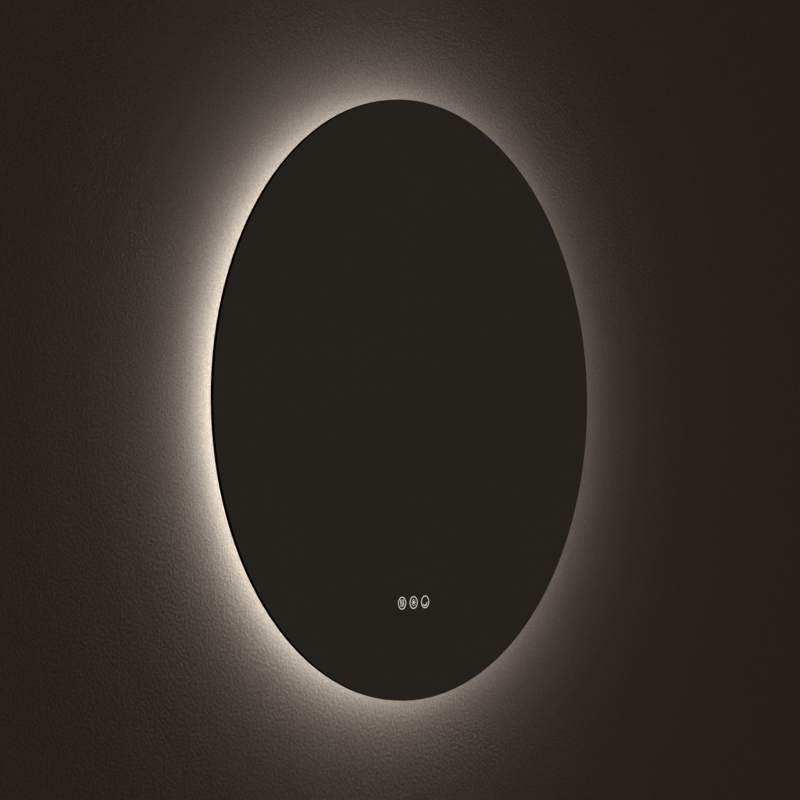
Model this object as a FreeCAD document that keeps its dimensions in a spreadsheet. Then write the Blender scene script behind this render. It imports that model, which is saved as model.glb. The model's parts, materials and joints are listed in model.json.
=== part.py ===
import FreeCAD, Part
import math
import os
import Sketcher

# A round frameless bathroom mirror with a ring of light behind its edge and three touch signs.
# Origin: centre of the mirror on the wall plane.  +X right as seen from the front, +Z up,
# -Y into the room.  "Depth" is the distance from the wall, so depth = -Y.  Millimetres, degrees.

DRIVING = {
    # overall
    "glass_radius": 400,
    "overall_depth": 35,
    # glass and what is bonded to its back
    "glass_thickness": 4,
    "glass_arris": 0.6,
    "film_thickness": 0.3,
    "film_margin": 1.5,
    "film_window_play": 1,
    "tape_thickness": 0.7,
    "tape_length": 60,
    "tape_width": 8,
    "tape_count": 18,
    # rolled aluminium frame with the light channel on its outside
    "frame_radius": 350,
    "frame_wall": 1.5,
    "channel_width": 14.5,
    "channel_floor_inset": 10,
    "pan_flange_width": 16.5,
    "pan_flange_depth": 5.5,
    "joint_gap": 0.5,
    "joiner_thickness": 2,
    "joiner_span": 15,
    "joiner_gap": 1,
    # light strip and its cover
    "strip_width": 10,
    "strip_thickness": 0.3,
    "chip_count": 63,
    "chip_pitch": 33.333,
    "chip_length": 5,
    "chip_height": 1.6,
    "diffuser_thickness": 2,
    "diffuser_inset": 0.5,
    # back pan
    "pan_radius": 337.5,
    "pan_thickness": 1,
    "pan_screw_circle": 330,
    "pan_screw_count": 4,
    "pan_screw_radius": 2,
    "pan_head_flats": 7,
    "pan_head_height": 1.8,
    "pan_screw_length": 6,
    "screw_clearance": 0.2,
    "recess_length": 360,
    "recess_height": 90,
    "recess_draw": 7.5,
    "recess_corner": 16,
    "recess_centre": 172,
    "draw_taper": 12,
    "bead_circle": 262,
    "bead_length": 130,
    "bead_width": 16,
    "bead_draw": 2.5,
    # hanging rail on the wall and the two hooks that drop over it
    "sheet_steel": 1.5,
    "rail_length": 320,
    "rail_bottom": 150,
    "rail_step": 176,
    "rail_lip_top": 192,
    "rail_lip_offset": 3.5,
    "rail_hole_spacing": 240,
    "rail_hole_radius": 2.75,
    "rail_hole_height": 163,
    "hook_width": 60,
    "hook_spacing": 220,
    "hook_overlap": 12,
    "hook_lip_depth": 1.4,
    "hook_seat_play": 0.2,
    "hook_top": 211,
    "hook_lead_in": 2,
    # light driver, bonded to the pan
    "driver_x": -115,
    "driver_z": -60,
    "driver_length": 150,
    "driver_width": 46,
    "driver_height": 20,
    "driver_corner": 4,
    "driver_tape": 1,
    "driver_tape_length": 130,
    "driver_tape_width": 34,
    "shell_wall": 1.6,
    "lid_play": 0.15,
    "board_thickness": 1.6,
    "board_play": 0.6,
    "board_part_height": 12,
    # terminal block, its snap-on cover and the earth tab
    "terminal_x": 112,
    "terminal_z": -66,
    "terminal_length": 34,
    "terminal_width": 20,
    "terminal_height": 13,
    "pole_pitch": 10,
    "pole_opening": 3.5,
    "pole_screw_depth": 5,
    "pole_wire_height": 4,
    "cover_length": 62,
    "cover_width": 42,
    "cover_height": 21,
    "lead_gate": 9,
    "lug_width": 8,
    "lug_thickness": 2,
    "lug_reach": 1.5,
    "lug_slot_play": 0.4,
    "earth_x": 164,
    "earth_z": -20,
    "earth_tab_width": 6.3,
    "earth_tab_height": 9,
    "earth_tab_thickness": 0.8,
    "receptacle_wall": 1,
    "receptacle_depth": 7,
    # openings for the leads
    "entry_x": 112,
    "entry_z": -14,
    "entry_bore": 4,
    "entry_neck": 7,
    "entry_flange": 10,
    "entry_lip": 1.6,
    "strip_entry_length": 8,
    "strip_entry_width": 4,
    # touch sensor behind the three signs
    "sign_drop": 270.6,
    "sign_pitch": 24.7,
    "sensor_length": 96,
    "sensor_width": 34,
    "sensor_height": 11,
    "sensor_wall": 1.5,
    "sensor_floor": 2,
    "sensor_corner": 6,
    "sensor_board_lift": 2.5,
    "sensor_board_play": 0.5,
    "stand_off_inset": 8,
    "stand_off_length": 12,
    "stand_off_width": 4,
    "guide_side": 21,
    # demister
    "demister_width": 400,
    "demister_height": 300,
    "demister_thickness": 0.25,
    "track_width": 6,
    "track_thickness": 0.15,
    "track_margin": 16,
    "track_rows": 9,
    "tab_length": 26,
    "tab_width": 14,
    "tab_height": 4,
    # flat leads
    "mains_lead_width": 6.4,
    "mains_lead_height": 3.6,
    "low_lead_width": 4,
    "low_lead_height": 1.6,
    "earth_lead_size": 2.2,
    "clip_length": 6,
    "clip_wall": 1.2,
    "clip_play": 0.3,
}

SHANK_SIDES = 8

document = FreeCAD.newDocument("lit_round_mirror")
sheet = document.addObject("Spreadsheet::Sheet", "Sizes")
for row, (alias, number) in enumerate(DRIVING.items(), 1):
    sheet.set("A%d" % row, alias)
    sheet.set("B%d" % row, str(number))
    sheet.setAlias("B%d" % row, alias)
document.recompute()

pieces = []
cutting_features = []


class Size:
    """A length that carries both its value and the sheet expression it comes from."""

    def __init__(self, value, text):
        self.value = float(value)
        self.text = text

    def __add__(self, other):
        other = as_size(other)
        return Size(self.value + other.value, "(%s + %s)" % (self.text, other.text))

    def __sub__(self, other):
        other = as_size(other)
        return Size(self.value - other.value, "(%s - %s)" % (self.text, other.text))

    def __mul__(self, other):
        other = as_size(other)
        return Size(self.value * other.value, "%s * %s" % (self.text, other.text))

    def __truediv__(self, other):
        other = as_size(other)
        return Size(self.value / other.value, "%s / %s" % (self.text, other.text))

    def __neg__(self):
        return Size(-self.value, "(0 - %s)" % self.text)

    def __rmul__(self, other):
        return as_size(other) * self


def as_size(number):
    if isinstance(number, Size):
        return number
    return Size(number, "(%.6f)" % number)


class Cells:
    """Reads the sheet: cells.glass_radius is the Size held by the cell of that alias."""

    def __getattr__(self, alias):
        return Size(sheet.get(alias), "Sizes." + alias)


cells = Cells()

# Depths worked out from the driving sizes.
glass_back = cells.overall_depth - cells.glass_thickness
film_back = glass_back - cells.film_thickness
frame_front = film_back - cells.tape_thickness
channel_front = frame_front - cells.frame_wall
channel_rear = channel_front - cells.channel_width
channel_middle = (channel_rear + channel_front) / 2
pan_front = cells.pan_flange_depth
pan_rear = pan_front - cells.pan_thickness
recess_floor = pan_rear + cells.recess_draw
sensor_back = glass_back - cells.sensor_height
hook_seat = cells.rail_lip_top + cells.hook_seat_play

# Radii worked out from the driving sizes.
web_outer = cells.frame_radius - cells.channel_floor_inset
web_inner = web_outer - cells.frame_wall


# ---------------------------------------------------------------- drawing helpers

def new_body(label):
    body = document.addObject("PartDesign::Body", label)
    body.Label = label
    pieces.append(body)
    return body


def origin_item(body, role):
    return [item for item in body.Origin.OriginFeatures if item.Role == role][0]


def new_sketch(body, name, role="XZ_Plane", offset=0, turn=0):
    """A sketch on an origin plane.  offset moves it along its normal (for XZ_Plane: the depth).
    turn tilts an XY_Plane sketch about Y, so that its normal is a radius of the mirror."""
    sketch = body.newObject("Sketcher::SketchObject", body.Label + "_" + name)
    sketch.AttachmentSupport = [(origin_item(body, role), "")]
    sketch.MapMode = "FlatFace"
    tilt = FreeCAD.Rotation(FreeCAD.Vector(0, 1, 0), turn)
    sketch.AttachmentOffset = FreeCAD.Placement(FreeCAD.Vector(), tilt)
    along = as_size(offset) * math.cos(math.radians(turn))
    sketch.setExpression("AttachmentOffset.Base.z", along.text)
    if turn:
        aside = as_size(offset) * math.sin(math.radians(turn))
        sketch.setExpression("AttachmentOffset.Base.x", aside.text)
    return sketch


def hold(sketch, kind, geometry, point, size):
    """Ties one coordinate of a point to the sheet."""
    size = as_size(size)
    constraint = Sketcher.Constraint(kind, -1, 1, geometry, point, size.value)
    index = sketch.addConstraint(constraint)
    sketch.setExpression("Constraints[%d]" % index, size.text)


def hold_radius(sketch, geometry, radius):
    index = sketch.addConstraint(Sketcher.Constraint("Radius", geometry, radius.value))
    sketch.setExpression("Constraints[%d]" % index, radius.text)


def polygon(sketch, corners):
    corners = [(as_size(across), as_size(up)) for across, up in corners]
    points = [FreeCAD.Vector(across.value, up.value, 0) for across, up in corners]
    first = sketch.GeometryCount
    for start, end in zip(points, points[1:] + points[:1]):
        sketch.addGeometry(Part.LineSegment(start, end))
    for index, (across, up) in enumerate(corners):
        following = first + (index + 1) % len(corners)
        sketch.addConstraint(Sketcher.Constraint("Coincident", first + index, 2, following, 1))
        hold(sketch, "DistanceX", first + index, 1, across)
        hold(sketch, "DistanceY", first + index, 1, up)


def rectangle(sketch, across, up, width, height):
    left = as_size(across) - width / 2
    right = as_size(across) + width / 2
    low = as_size(up) - height / 2
    high = as_size(up) + height / 2
    polygon(sketch, [(left, low), (right, low), (right, high), (left, high)])


def chamfered_rectangle(sketch, across, up, width, height, corner):
    """A rectangle with its four corners cut at 45 degrees."""
    left = as_size(across) - width / 2
    right = as_size(across) + width / 2
    low = as_size(up) - height / 2
    high = as_size(up) + height / 2
    polygon(sketch, [
        (left + corner, low), (right - corner, low), (right, low + corner), (right, high - corner),
        (right - corner, high), (left + corner, high), (left, high - corner), (left, low + corner),
    ])


def regular_polygon(sketch, across, up, reach, sides):
    """Equal sides about a point, with the corners at the distance reach from it."""
    turns = [2 * math.pi * index / sides for index in range(sides)]
    polygon(sketch, [(across + reach * math.cos(turn), up + reach * math.sin(turn)) for turn in turns])


def circle(sketch, across, up, radius):
    across, up, radius = as_size(across), as_size(up), as_size(radius)
    centre = FreeCAD.Vector(across.value, up.value, 0)
    geometry = sketch.addGeometry(Part.Circle(centre, FreeCAD.Vector(0, 0, 1), radius.value))
    hold(sketch, "DistanceX", geometry, 3, across)
    hold(sketch, "DistanceY", geometry, 3, up)
    hold_radius(sketch, geometry, radius)


def rounded_rectangle(sketch, across, up, width, height, corner):
    """Four quarter arcs joined by four tangent sides."""
    across, up, corner = as_size(across), as_size(up), as_size(corner)
    reach_x = as_size(width) / 2 - corner
    reach_y = as_size(height) / 2 - corner
    first = sketch.GeometryCount
    for quarter in range(4):
        centre_x = across + (1, -1, -1, 1)[quarter] * reach_x
        centre_y = up + (1, 1, -1, -1)[quarter] * reach_y
        centre = FreeCAD.Vector(centre_x.value, centre_y.value, 0)
        full = Part.Circle(centre, FreeCAD.Vector(0, 0, 1), corner.value)
        start = math.pi / 2 * quarter
        geometry = sketch.addGeometry(Part.ArcOfCircle(full, start, start + math.pi / 2))
        hold(sketch, "DistanceX", geometry, 3, centre_x)
        hold(sketch, "DistanceY", geometry, 3, centre_y)
        hold_radius(sketch, geometry, corner)
    for quarter in range(4):
        arc = first + quarter
        following = first + (quarter + 1) % 4
        start = sketch.Geometry[arc].EndPoint
        end = sketch.Geometry[following].StartPoint
        side = sketch.addGeometry(Part.LineSegment(start, end))
        sketch.addConstraint(Sketcher.Constraint("Tangent", arc, 2, side, 1))
        sketch.addConstraint(Sketcher.Constraint("Tangent", side, 2, following, 1))


# ---------------------------------------------------------------- feature helpers

def pad(body, sketch, length, taper=None):
    """Adds material along the sketch normal (for XZ_Plane sketches: towards the room)."""
    feature = body.newObject("PartDesign::Pad", sketch.Name + "_pad")
    feature.Profile = (sketch, [""])
    feature.setExpression("Length", as_size(length).text)
    if taper is not None:
        feature.setExpression("TaperAngle", (-taper).text)
    return feature


def cut(body, sketch, length, taper=None, inwards=False):
    """Removes material along the sketch normal, or against it where inwards is set."""
    feature = body.newObject("PartDesign::Pocket", sketch.Name + "_cut")
    feature.Profile = (sketch, [""])
    feature.Reversed = not inwards
    feature.setExpression("Length", as_size(length).text)
    if taper is not None:
        feature.setExpression("TaperAngle", (-taper).text)
    cutting_features.append(feature)
    return feature


def ring(label, corners, span=360):
    """Turns a section, given as (radius, depth) corners, about the mirror's axis.
    A span under a full turn is centred on the top of the mirror."""
    body = new_body(label)
    sketch = new_sketch(body, "section", "YZ_Plane")
    polygon(sketch, [(-as_size(depth), radius) for radius, depth in corners])
    feature = body.newObject("PartDesign::Revolution", label + "_turned")
    feature.Profile = (sketch, [""])
    feature.ReferenceAxis = (sketch, ["H_Axis"])
    feature.Midplane = True
    feature.setExpression("Angle", as_size(span).text)
    return body


def band(label, inner, outer, rear, front, span=360):
    return ring(label, [(inner, rear), (outer, rear), (outer, front), (inner, front)], span)


def around(body, features, count, span=360):
    """Repeats features about the mirror's axis."""
    pattern = body.newObject("PartDesign::PolarPattern", body.Label + "_around")
    pattern.Originals = features
    pattern.Axis = (origin_item(body, "Y_Axis"), [""])
    pattern.setExpression("Angle", as_size(span).text)
    pattern.setExpression("Occurrences", as_size(count).text)
    body.Tip = pattern
    return pattern


def plate(label, depth, thickness, draw):
    """A flat piece parallel to the wall; draw adds its outline to the sketch."""
    body = new_body(label)
    sketch = new_sketch(body, "outline", offset=depth)
    draw(sketch)
    pad(body, sketch, thickness)
    return body


# ---------------------------------------------------------------- glass and its layers

def make_mirror_glass():
    """Round float glass with a ground and polished edge and a small arris at the front."""
    edge = cells.glass_radius
    front = cells.overall_depth
    arris = cells.glass_arris
    ring("mirror_glass", [
        (0, glass_back), (edge, glass_back), (edge, front - arris), (edge - arris, front), (0, front),
    ])


def make_backing_film():
    """Safety film over the whole back of the glass, open where the touch sensor is bonded."""
    play = cells.film_window_play * 2

    def outline(sketch):
        circle(sketch, 0, 0, cells.glass_radius - cells.film_margin)
        chamfered_rectangle(sketch, 0, -cells.sign_drop, cells.sensor_length + play,
                            cells.sensor_width + play, cells.sensor_corner)
    plate("backing_film", film_back, cells.film_thickness, outline)


def make_frame_tape():
    """Straight lengths of foam tape between the frame's front flange and the film."""
    body = new_body("frame_tape")
    strip = new_sketch(body, "strip", offset=frame_front)
    rectangle(strip, 0, (web_inner + cells.frame_radius) / 2, cells.tape_length, cells.tape_width)
    around(body, [pad(body, strip, cells.tape_thickness)], cells.tape_count)


# ---------------------------------------------------------------- frame and light

def make_frame_ring():
    """Extrusion rolled to a ring: web, outward light channel whose front wall carries the glass, and
    an inward flange for the back pan.  Its rear edge stands on the wall.  Butt joint at the top and
    a slot for the strip's lead at the bottom."""
    wall = cells.frame_wall
    rim = cells.frame_radius
    flange_inner = web_inner - cells.pan_flange_width
    flange_rear = cells.pan_flange_depth
    body = ring("frame_ring", [
        (web_inner, 0), (web_outer, 0),
        (web_outer, channel_rear - wall), (rim, channel_rear - wall), (rim, channel_rear),
        (web_outer, channel_rear), (web_outer, channel_front), (rim, channel_front), (rim, frame_front),
        (web_inner, frame_front), (web_inner, flange_rear + wall), (flange_inner, flange_rear + wall),
        (flange_inner, flange_rear), (web_inner, flange_rear),
    ])
    joint = new_sketch(body, "joint")
    rectangle(joint, 0, rim, cells.joint_gap, (rim - flange_inner) * 3)
    cut(body, joint, cells.overall_depth)
    entry = new_sketch(body, "lead_slot", "XY_Plane")
    rectangle(entry, 0, -channel_middle, cells.strip_entry_length, cells.strip_entry_width)
    cut(body, entry, rim, inwards=True)
    cut_pan_screw_holes(body, cells.pan_screw_radius)


def screw_outline(sketch, reach, sides):
    """A regular outline about the first pan screw, which stands half a step from the top."""
    angle = math.pi / cells.pan_screw_count.value
    across = cells.pan_screw_circle * math.sin(angle)
    up = cells.pan_screw_circle * math.cos(angle)
    regular_polygon(sketch, across, up, reach, sides)


def cut_pan_screw_holes(body, radius):
    """The holes have the shank's flats.  They are small, there are many and a head covers each."""
    hole = new_sketch(body, "pan_screw_hole")
    screw_outline(hole, radius, SHANK_SIDES)
    around(body, [cut(body, hole, cells.overall_depth / 3)], cells.pan_screw_count)


def make_ring_joiner():
    """Curved plate bonded across the butt joint on the inside of the web."""
    rear = cells.pan_flange_depth + cells.frame_wall
    band("ring_joiner", web_inner - cells.joiner_thickness, web_inner, rear,
         frame_front - cells.joiner_gap, cells.joiner_span)


def make_led_diffuser():
    """Opal band that closes the mouth of the channel, bonded between its two walls."""
    outer = cells.frame_radius - cells.diffuser_inset
    band("led_diffuser", outer - cells.diffuser_thickness, outer, channel_rear, channel_front)


def chip_step():
    """Angle between two light chips."""
    return cells.chip_pitch / web_outer * (180 / math.pi)


def make_led_strip():
    """Flexible circuit on the channel floor.  Its two ends leave a gap at the bottom for the lead."""
    half = cells.strip_width / 2
    band("led_strip", web_outer, web_outer + cells.strip_thickness, channel_middle - half,
         channel_middle + half, chip_step() * cells.chip_count)


def make_led_chips():
    body = new_body("led_chips")
    step = chip_step()
    count = cells.chip_count
    turn = -step.value * (count.value - 1) / 2
    chip = new_sketch(body, "chip", "XY_Plane", web_outer + cells.strip_thickness, turn)
    rectangle(chip, 0, -channel_middle, cells.chip_length, cells.chip_length)
    around(body, [pad(body, chip, cells.chip_height)], count, step * (count - 1))


# ---------------------------------------------------------------- back pan

def make_back_pan():
    """Drawn and punched steel back with the hanging recess at the top and a stiffening bead at
    either side and at the bottom."""
    body = new_body("back_pan")
    disc = new_sketch(body, "disc", offset=pan_rear)
    circle(disc, 0, 0, cells.pan_radius)
    pad(body, disc, cells.pan_thickness)

    def recess(sketch, skin):
        rounded_rectangle(sketch, 0, cells.recess_centre, cells.recess_length - skin * 2,
                          cells.recess_height - skin * 2, cells.recess_corner - skin)
    draw_panel(body, "recess", recess, cells.recess_draw)

    def bead(sketch, skin):
        width = cells.bead_width - skin * 2
        chamfered_rectangle(sketch, cells.bead_circle, 0, width, cells.bead_length - skin * 2, width / 3)
    around(body, draw_panel(body, "bead", bead, cells.bead_draw), 3, 180)

    holes = new_sketch(body, "holes", offset=pan_rear)
    circle(holes, cells.entry_x, cells.entry_z, cells.entry_neck)
    slot_play = cells.lug_slot_play
    for across, up in lug_places():
        rectangle(holes, across, up, cells.lug_width + slot_play, cells.lug_thickness + slot_play)
    cut(body, holes, cells.pan_thickness)
    cut_pan_screw_holes(body, cells.pan_screw_radius + cells.screw_clearance)


def draw_panel(body, name, outline, depth):
    """A tapered panel drawn towards the room: outer skin added, inner hollow removed."""
    outer = new_sketch(body, name + "_outer", offset=pan_rear)
    outline(outer, as_size(0))
    skin = pad(body, outer, depth + cells.pan_thickness, cells.draw_taper)
    inner = new_sketch(body, name + "_inner", offset=pan_rear)
    outline(inner, cells.pan_thickness)
    hollow = cut(body, inner, depth, cells.draw_taper)
    return [skin, hollow]


def make_pan_screws():
    """Hexagon-headed sheet screws through the pan into the frame's flange."""
    body = new_body("pan_screws")
    head = new_sketch(body, "head", offset=pan_rear - cells.pan_head_height)
    screw_outline(head, cells.pan_head_flats / math.sqrt(3), 6)
    shank = new_sketch(body, "shank", offset=pan_rear)
    screw_outline(shank, cells.pan_screw_radius, SHANK_SIDES)
    features = [pad(body, head, cells.pan_head_height), pad(body, shank, cells.pan_screw_length)]
    around(body, features, cells.pan_screw_count)


# ---------------------------------------------------------------- hanging parts

def bent_strip(label, centre, length, section):
    """Sheet steel of constant section, given as (depth, height) corners, centred on X = centre."""
    body = new_body(label)
    sketch = new_sketch(body, "section", "YZ_Plane", as_size(centre) - length / 2)
    polygon(sketch, [(-as_size(depth), up) for depth, up in section])
    pad(body, sketch, length)
    return body


def make_hanging_rail():
    """Z-section rail: flat on the wall, joggled out to an upright lip that carries the hooks."""
    steel = cells.sheet_steel
    offset = cells.rail_lip_offset
    bend_shift = steel * math.tan(math.radians(22.5))
    body = bent_strip("hanging_rail", 0, cells.rail_length, [
        (0, cells.rail_bottom), (steel, cells.rail_bottom),
        (steel, cells.rail_step - bend_shift), (offset + steel, cells.rail_step + offset - bend_shift),
        (offset + steel, cells.rail_lip_top), (offset, cells.rail_lip_top),
        (offset, cells.rail_step + offset), (0, cells.rail_step),
    ])
    holes = new_sketch(body, "screw_holes")
    for side in (-1, 1):
        circle(holes, cells.rail_hole_spacing / 2 * side, cells.rail_hole_height, cells.rail_hole_radius)
    cut(body, holes, steel)


def make_hook(label, side):
    """Hook spot-welded in the pan's recess: a shelf that sits on the rail's lip and a lip behind it,
    cut back at its lower end so that it finds the rail."""
    steel = cells.sheet_steel
    lip = cells.hook_lip_depth
    lip_bottom = cells.rail_lip_top - cells.hook_overlap
    base = recess_floor - steel
    top = hook_seat + steel
    bent_strip(label, cells.hook_spacing / 2 * side, cells.hook_width, [
        (lip, lip_bottom), (lip + steel / 3, lip_bottom), (lip + steel, lip_bottom + cells.hook_lead_in),
        (lip + steel, hook_seat), (recess_floor, hook_seat), (recess_floor, cells.hook_top),
        (base, cells.hook_top), (base, top), (lip, top),
    ])


# ---------------------------------------------------------------- light driver

driver_back = pan_front + cells.driver_tape
driver_lid_seat = driver_back + cells.driver_height - cells.shell_wall


def make_driver_tape():
    def outline(sketch):
        rectangle(sketch, cells.driver_x, cells.driver_z, cells.driver_tape_length, cells.driver_tape_width)
    plate("driver_tape", pan_front, cells.driver_tape, outline)


def driver_outline(sketch):
    rounded_rectangle(sketch, cells.driver_x, cells.driver_z, cells.driver_length, cells.driver_width,
                      cells.driver_corner)


def driver_inside(sketch, inset):
    """The driver's outline drawn in by inset on every side, with square corners."""
    rectangle(sketch, cells.driver_x, cells.driver_z, cells.driver_length - inset * 2,
              cells.driver_width - inset * 2)


def make_driver_case():
    wall = cells.shell_wall
    body = plate("driver_case", driver_back, cells.driver_height - wall, driver_outline)
    hollow = new_sketch(body, "hollow", offset=driver_back + wall)
    driver_inside(hollow, wall)
    cut(body, hollow, cells.driver_height)


def make_driver_lid():
    """Lid with a shallow step that drops between the walls of the case."""
    wall = cells.shell_wall
    body = plate("driver_lid", driver_lid_seat, wall, driver_outline)
    step = new_sketch(body, "step", offset=driver_lid_seat - wall)
    driver_inside(step, wall + cells.lid_play)
    pad(body, step, wall)


# What stands on the driver's board: place from its middle, then length and width.
BOARD_PARTS = {
    "transformer": (-8, 0, 28, 24),
    "choke": (26, 6, 12, 12),
    "inlet_capacitor": (50, -4, 16, 18),
    "outlet_capacitor": (-46, -6, 10, 22),
}


def make_driver_board():
    inset = cells.shell_wall + cells.board_play
    under = driver_back + cells.shell_wall
    body = plate("driver_board", under, cells.board_thickness, lambda sketch: driver_inside(sketch, inset))
    for name, (across, up, length, width) in BOARD_PARTS.items():
        part = new_sketch(body, name, offset=under + cells.board_thickness)
        rectangle(part, cells.driver_x + across, cells.driver_z + up, as_size(length), as_size(width))
        pad(body, part, cells.board_part_height)


# ---------------------------------------------------------------- terminals, earth and openings

def make_terminal_block():
    """Three-pole block with its screw wells open to the room and its wire openings at both ends."""
    body = new_body("terminal_block")
    outline = new_sketch(body, "outline", offset=pan_front)
    rectangle(outline, cells.terminal_x, cells.terminal_z, cells.terminal_length, cells.terminal_width)
    pad(body, outline, cells.terminal_height)
    wells = new_sketch(body, "wells", offset=pan_front + cells.terminal_height)
    for pole in (-1, 0, 1):
        across = cells.terminal_x + cells.pole_pitch * pole
        rectangle(wells, across, cells.terminal_z, cells.pole_opening, cells.pole_opening)
    cut(body, wells, cells.pole_screw_depth, inwards=True)
    mouths = new_sketch(body, "wire_openings", "XY_Plane", cells.terminal_z + cells.terminal_width / 2)
    wire_depth = pan_front + cells.pole_wire_height
    for pole in (-1, 0, 1):
        across = cells.terminal_x + cells.pole_pitch * pole
        rectangle(mouths, across, -wire_depth, cells.pole_opening, cells.pole_opening)
    cut(body, mouths, cells.terminal_width, inwards=True)


def lug_places():
    """The cover's two lugs stand inside its long walls."""
    reach = cells.cover_width / 2 - cells.lug_thickness / 2
    return [(cells.terminal_x, cells.terminal_z - reach), (cells.terminal_x, cells.terminal_z + reach)]


def make_terminal_cover():
    """Moulded hood over the terminals: a gate in each end for the leads, two lugs into the pan."""
    def outline(sketch):
        rounded_rectangle(sketch, cells.terminal_x, cells.terminal_z, cells.cover_length, cells.cover_width,
                          cells.driver_corner)
    body = plate("terminal_cover", pan_front, cells.cover_height, outline)
    wall = cells.shell_wall
    hollow = new_sketch(body, "hollow", offset=pan_front)
    rectangle(hollow, cells.terminal_x, cells.terminal_z, cells.cover_length - wall * 2,
              cells.cover_width - wall * 2)
    cut(body, hollow, cells.cover_height - wall)
    gates = new_sketch(body, "gates", offset=pan_front)
    rectangle(gates, cells.terminal_x, cells.terminal_z, cells.cover_length + wall, cells.lead_gate)
    cut(body, gates, cells.lead_gate)
    lugs = new_sketch(body, "lugs", offset=pan_rear - cells.lug_reach)
    for across, up in lug_places():
        rectangle(lugs, across, up, cells.lug_width, cells.lug_thickness)
    pad(body, lugs, cells.lug_reach + cells.pan_thickness + cells.cover_height / 2)


def make_earth_tab():
    """Blade terminal on a small foot, spot-welded to the pan."""
    def foot(sketch):
        rectangle(sketch, cells.earth_x, cells.earth_z, cells.earth_tab_width, cells.earth_tab_width)
    body = plate("earth_tab", pan_front, cells.earth_tab_thickness, foot)
    blade = new_sketch(body, "blade", offset=pan_front)
    blade_outline(blade)
    pad(body, blade, cells.earth_tab_height)


def blade_place():
    """Height of the middle of the earth tab's blade, at the upper end of its foot."""
    return cells.earth_z + (cells.earth_tab_width - cells.earth_tab_thickness) / 2


def blade_outline(sketch):
    rectangle(sketch, cells.earth_x, blade_place(), cells.earth_tab_width, cells.earth_tab_thickness)


def make_earth_receptacle():
    """Insulated push-on connector on the earth tab's blade, with the lead leaving it sideways."""
    around_blade = cells.receptacle_wall * 2

    def outline(sketch):
        rectangle(sketch, cells.earth_x, blade_place(), cells.earth_tab_width + around_blade,
                  cells.earth_tab_thickness + around_blade)
    front = pan_front + cells.earth_tab_height
    rear = front + cells.receptacle_wall - cells.receptacle_depth
    body = plate("earth_receptacle", rear, cells.receptacle_depth, outline)
    slot = new_sketch(body, "slot", offset=rear)
    blade_outline(slot)
    cut(body, slot, front - rear)


def make_cable_grommet():
    """Rubber bush in the pan: the opening for the supply lead."""
    body = new_body("cable_grommet")
    lip = cells.entry_lip
    layers = [
        ("rear_flange", pan_rear - lip, cells.entry_flange, lip),
        ("neck", pan_rear, cells.entry_neck, cells.pan_thickness),
        ("front_flange", pan_front, cells.entry_flange, lip),
    ]
    for name, depth, radius, height in layers:
        sketch = new_sketch(body, name, offset=depth)
        circle(sketch, cells.entry_x, cells.entry_z, radius)
        pad(body, sketch, height)
    bore = new_sketch(body, "bore", offset=pan_rear - lip)
    circle(bore, cells.entry_x, cells.entry_z, cells.entry_bore)
    cut(body, bore, cells.overall_depth)


# ---------------------------------------------------------------- touch sensor and demister

def make_touch_sensor_case():
    def outline(sketch):
        chamfered_rectangle(sketch, 0, -cells.sign_drop, cells.sensor_length, cells.sensor_width,
                            cells.sensor_corner)
    body = plate("touch_sensor_case", sensor_back, cells.sensor_height, outline)
    hollow = new_sketch(body, "hollow", offset=sensor_back + cells.sensor_floor)
    wall = cells.sensor_wall
    chamfered_rectangle(hollow, 0, -cells.sign_drop, cells.sensor_length - wall * 2,
                        cells.sensor_width - wall * 2, cells.sensor_corner - wall * (2 - math.sqrt(2)))
    cut(body, hollow, cells.sensor_height)


def make_touch_sensor_board():
    """Sensor board on two stand-offs, with its corners cut to clear the case."""
    inset = (cells.sensor_wall + cells.sensor_board_play) * 2
    floor = sensor_back + cells.sensor_floor

    def outline(sketch):
        chamfered_rectangle(sketch, 0, -cells.sign_drop, cells.sensor_length - inset,
                            cells.sensor_width - inset, cells.sensor_corner)
    body = plate("touch_sensor_board", floor + cells.sensor_board_lift, cells.board_thickness, outline)
    legs = new_sketch(body, "stand_offs", offset=floor)
    for side in (-1, 1):
        rectangle(legs, (cells.sensor_length / 2 - cells.stand_off_inset) * side, -cells.sign_drop,
                  cells.stand_off_width, cells.stand_off_length)
    pad(body, legs, cells.sensor_board_lift)


def make_touch_light_guides():
    """One opal block behind each sign, from the board's lamps to the glass."""
    depth = sensor_back + cells.sensor_floor + cells.sensor_board_lift + cells.board_thickness

    def outlines(sketch):
        for place in (-1, 0, 1):
            across = cells.sign_pitch * place
            rectangle(sketch, across, -cells.sign_drop, cells.guide_side, cells.guide_side)
    plate("touch_light_guides", depth, glass_back - depth, outlines)


def make_demister_pad():
    def outline(sketch):
        rectangle(sketch, 0, 0, cells.demister_width, cells.demister_height)
    plate("demister_pad", film_back - cells.demister_thickness, cells.demister_thickness, outline)


def track_corners():
    """Both edges of one conductor that runs to and fro across the pad, as corners of its outline."""
    rows = int(cells.track_rows.value)
    reach = cells.demister_width / 2 - cells.track_margin
    climb = (cells.demister_height - cells.track_margin * 2) / (cells.track_rows - 1)
    half = cells.track_width / 2
    centre_line = []
    steps = []
    side = -1
    for index in range(rows):
        up = climb * (index - (rows - 1) / 2)
        centre_line += [(reach * side, up), (reach * -side, up)]
        steps += [(-side, 0), (0, 1)]
        side = -side
    steps.pop()
    left = []
    right = []
    for index, (across, up) in enumerate(centre_line):
        normals = [(-step_y, step_x) for step_x, step_y in steps[max(index - 1, 0):index + 1]]
        shift_x = half * sum(normal[0] for normal in normals)
        shift_y = half * sum(normal[1] for normal in normals)
        left.append((across + shift_x, up + shift_y))
        right.append((across - shift_x, up - shift_y))
    return left + right[::-1]


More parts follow.
